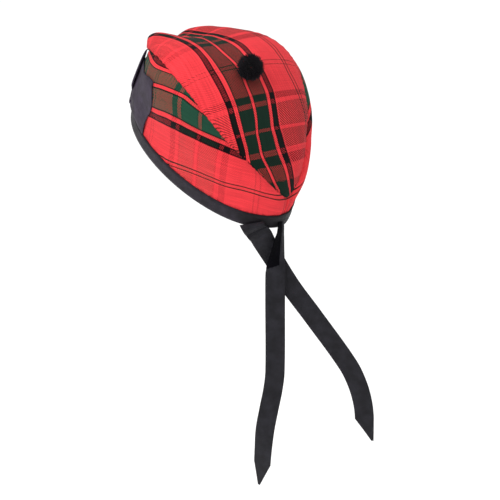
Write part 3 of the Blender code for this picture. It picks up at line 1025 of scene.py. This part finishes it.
def tie(name, rows, pleat_rows, station, stand, top_slant, cut_left, turned, stands_for):
    """A free ribbon end, sewn on the binding at a station, and standing off it by stand. Each row
    of its table is a place along it, from the rim down. Where it is turned over, it lies a little
    behind the rest and takes a darker ribbon, as painted shade where the twist turns it from the
    light. Its sewn end slants by top_slant, as a share of its width, and cut_left of the cut to its
    point is on the left."""
    on_binding = TUCK_GAP + TAPE + GAP + TAPE / 2
    anchor = place(*off_surface(panel_point, station, TIE_SEWN, on_binding + stand))
    row_at, pleat_at = smooth(rows), smooth(pleat_rows)

    def middle(share):
        down, across, back, facing, wide = row_at(share)
        drop = Vector((across, back, -down)) * TIE_LENGTH
        return anchor + drop, math.radians(facing), wide * TIE_WIDTH

    def surface(u, v):
        share = 1 - v
        here, facing, full_width = middle(share)
        run = middle(min(share + 0.01, 1))[0] - middle(max(share - 0.01, 0))[0]
        across = run.cross(Vector((math.cos(facing), math.sin(facing), 0))).normalized()
        slant = max(share - 1 + TIE_POINT / TIE_LENGTH, 0) * TIE_LENGTH / TIE_POINT
        cut = full_width * slant * (1 - TIE_TIP)
        out = pleat_at(share)[0] / 1000
        if is_turned(u, share):
            out -= TURN_DEPTH
        here = here + across.cross(run).normalized() * out
        fade = max(1 - share / TOP_SLANT_TO, 0)
        here += run.normalized() * (0.5 - u) * full_width * top_slant * fade
        return here + across * ((u - 0.5) * (full_width - cut) + cut * (0.5 - cut_left))

    def is_turned(u, share):
        slanted_to = TURNED_TO - TURN_SLANT * (1 - u)
        return turned and share < slanted_to and u > TURNED_FROM_EDGE

    def cloth(u, v):
        return v * TIE_CLOTH[0], u * TIE_CLOTH[1]

    run = lengths(lambda share: middle(share)[0])[-1] / 1000
    piece = lay(name, TIE_GRID, surface, cloth, TAPE, 0, TIE_RIBBON)
    # The turned-over faces take the darker ribbon, as painted shade
    piece.data.materials.append(TIE_PAINTED_SHADE)
    counts = piece.data.uv_layers["cloth"].data
    for face in piece.data.polygons:
        corners = [counts[loop].uv for loop in face.loop_indices]
        places = [(uv.y / TIE_CLOTH[1], 1 - uv.x / TIE_CLOTH[0]) for uv in corners]
        face.material_index = 1 if all(is_turned(*spot) for spot in places) else 0
    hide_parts(stands_for)


tie(
    "tie_ribbon_left",
    LEFT_TIE_ROWS,
    LEFT_PLEAT_ROWS,
    station=0.165,
    stand=0.0016,
    top_slant=0.32,
    cut_left=0.9,
    turned=False,
    stands_for="tie_left",
)
tie(
    "tie_ribbon_right",
    RIGHT_TIE_ROWS,
    RIGHT_PLEAT_ROWS,
    station=0.0,
    stand=-0.0006,
    top_slant=0.0,
    cut_left=0.35,
    turned=True,
    stands_for="tie_right",
)

# CAMERA, LIGHT AND FLOOR. The photograph's view: from behind the left side and a little above, in
# soft light on plain white.
FOCAL = 1363.6
FRAME_WIDTH = 500
SENSOR = 36
CAMERA_PLACE = Vector((1.10048, 0.9818, 0.5148))
CAMERA_BACK = Vector((0.70514, 0.59169, 0.39073))
WORLD_LIGHT = 0.42
FLOOR_SIZE = 6
FLOOR_HEIGHT = -0.6
camera = bpy.data.objects.new("camera", bpy.data.cameras.new("camera"))
bpy.context.scene.collection.objects.link(camera)
camera.location = CAMERA_PLACE
camera.rotation_euler = CAMERA_BACK.to_track_quat("Z", "Y").to_euler()
camera.data.sensor_width = SENSOR
camera.data.lens = SENSOR * FOCAL / FRAME_WIDTH
bpy.context.scene.camera = camera

scene = bpy.context.scene
scene.view_settings.view_transform = "Standard"
scene.world = bpy.data.worlds.new("white_studio")
scene.world.use_nodes = True
surround = scene.world.node_tree.nodes["Background"]
surround.inputs["Color"].default_value = (1, 1, 1, 1)
surround.inputs["Strength"].default_value = WORLD_LIGHT

# Each light's place in metres, its size in metres or, for the sun, in radians, and its power
# Columns: name, kind, spot, size, power
for name, kind, spot, size, power in (
    ("key_light", "AREA", (2.3, 0.1, 1.7), 1.4, 47),
    ("back_light", "AREA", (0.2, 2.6, 1.2), 1.8, 6),
    ("overhead_light", "SUN", (-0.2, -0.1, 3.0), 1.4, 2.0),
):
    light = bpy.data.objects.new(name, bpy.data.lights.new(name, kind))
    scene.collection.objects.link(light)
    light.location = spot
    light.rotation_euler = Vector(spot).to_track_quat("Z", "Y").to_euler()
    light.data.energy = power
    if kind == "SUN":
        light.data.angle = size
    else:
        light.data.size = size

bm = bmesh.new()
bmesh.ops.create_grid(bm, x_segments=1, y_segments=1, size=FLOOR_SIZE)
bmesh.ops.translate(bm, verts=bm.verts, vec=(0, 0, FLOOR_HEIGHT))
mesh = bpy.data.meshes.new("floor")
bm.to_mesh(mesh)
bm.free()
paper = bpy.data.materials.new("white_paper")
paper.use_nodes = True
paper_shader = paper.node_tree.nodes["Principled BSDF"]
paper_shader.inputs["Base Color"].default_value = linear("#FBFBFB")
paper_shader.inputs["Roughness"].default_value = 0.9
mesh.materials.append(paper)
floor = bpy.data.objects.new("floor", mesh)
scene.collection.objects.link(floor)
